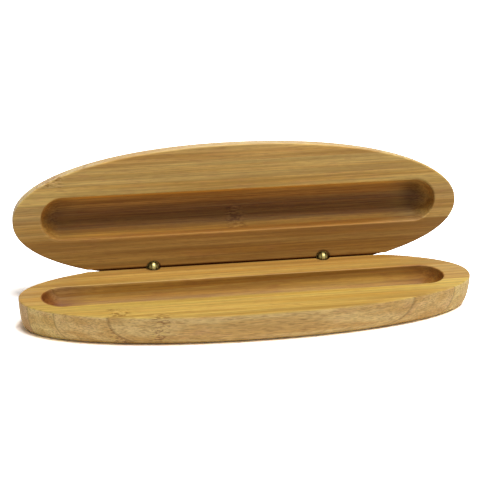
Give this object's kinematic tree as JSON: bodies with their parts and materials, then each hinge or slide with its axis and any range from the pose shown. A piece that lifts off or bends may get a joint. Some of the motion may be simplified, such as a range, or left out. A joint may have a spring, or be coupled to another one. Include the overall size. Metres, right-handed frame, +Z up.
{
  "type": "pen box",
  "caption": "Oval bamboo pen box: two hollowed halves joined by small brass ball hinges and bevelled behind them, shown with the lid standing open at its stop.",
  "frame": {"origin": "on the underside of the base, under the middle of the oval", "axes": "+X along the box to the right, +Y to the hinged back, +Z up"},
  "size_m": [0.176, 0.0636, 0.0604],
  "materials": {
    "bamboo": "satin, clear-lacquered bamboo",
    "brass": "bright turned brass"
  },
  "bodies": {
    "base": {"base_strip_1": "bamboo", "base_strip_2": "bamboo", "base_strip_3": "bamboo", "base_strip_4": "bamboo", "base_strip_5": "bamboo", "base_strip_6": "bamboo", "base_strip_7": "bamboo", "base_strip_8": "bamboo", "base_barrel_left": "brass", "base_barrel_right": "brass", "hinge_pin_left": "brass", "hinge_pin_right": "brass"},
    "lid": {"lid_strip_1": "bamboo", "lid_strip_2": "bamboo", "lid_strip_3": "bamboo", "lid_strip_4": "bamboo", "lid_strip_5": "bamboo", "lid_strip_6": "bamboo", "lid_strip_7": "bamboo", "lid_strip_8": "bamboo", "lid_barrel_left": "brass", "lid_barrel_right": "brass"}
  },
  "joints": [
    {"name": "lid_hinge", "type": "hinge", "parent": "base", "child": "lid", "pos_m": [0, 0.021, 0.01235], "axis": [1, 0, 0], "range_deg": [0, 94]}
  ]
}
